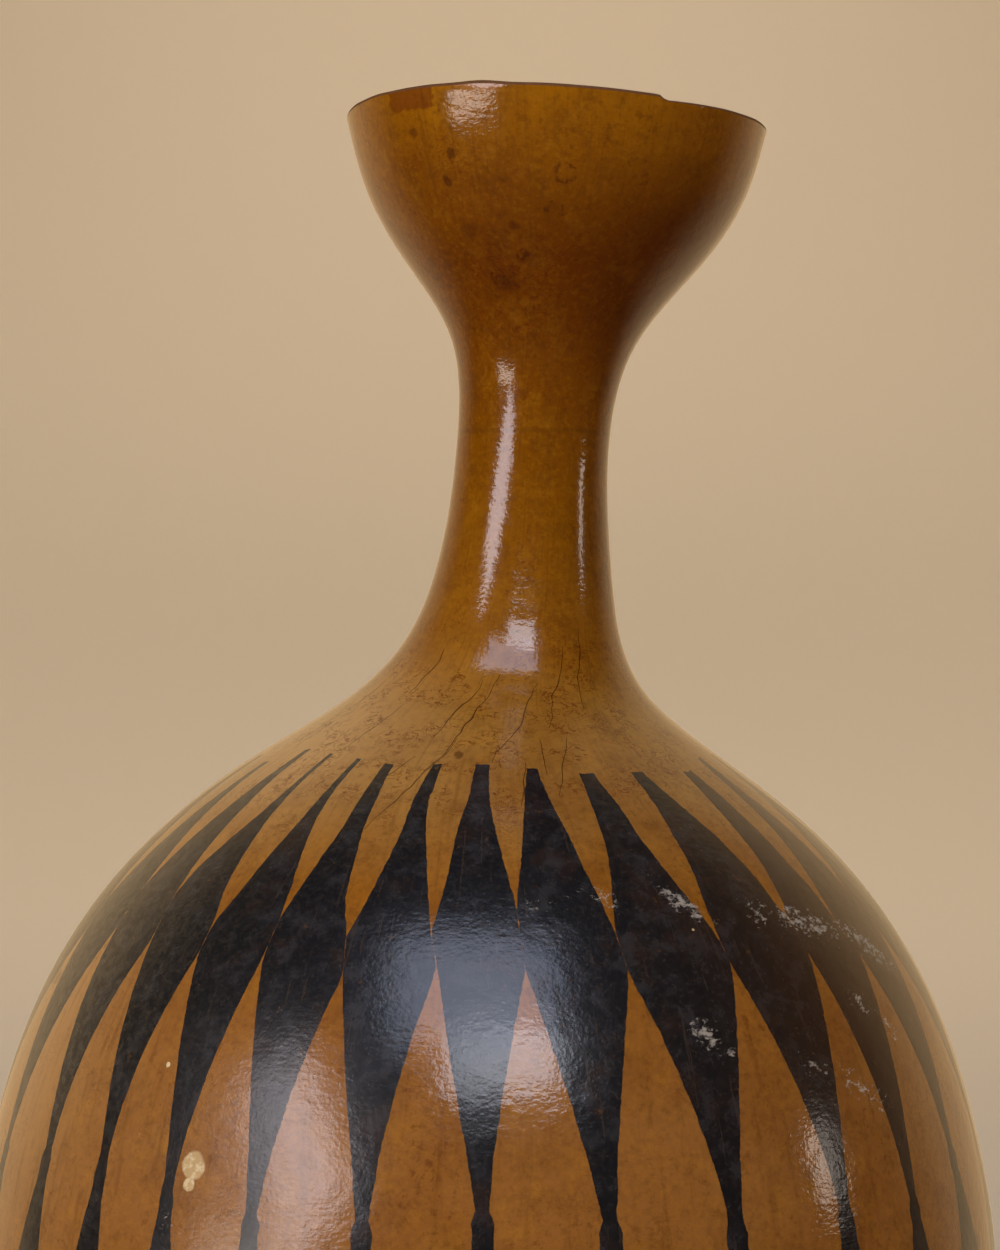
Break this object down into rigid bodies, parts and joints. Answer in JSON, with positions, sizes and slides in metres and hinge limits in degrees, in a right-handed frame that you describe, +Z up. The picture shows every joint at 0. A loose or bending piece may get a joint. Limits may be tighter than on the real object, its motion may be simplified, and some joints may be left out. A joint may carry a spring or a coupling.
{
  "type": "dried bottle gourd vessel",
  "caption": "Dried bottle gourd cut open at the top: round hollow body, narrow leaning neck and flared bowl-shaped mouth, painted with dark lozenges.",
  "frame": {"origin": "centre of the flat spot that the gourd stands on, under the axis of the round body", "axes": "+Z up, along the body's axis; -Y is the side whose painted pattern the picture shows; the neck and the mouth lean towards +X"},
  "size_m": [0.2416, 0.2388, 0.385],
  "materials": {
    "gourd_rind": "satin"
  },
  "bodies": {
    "root": {"gourd_shell": "gourd_rind"}
  },
  "joints": []
}
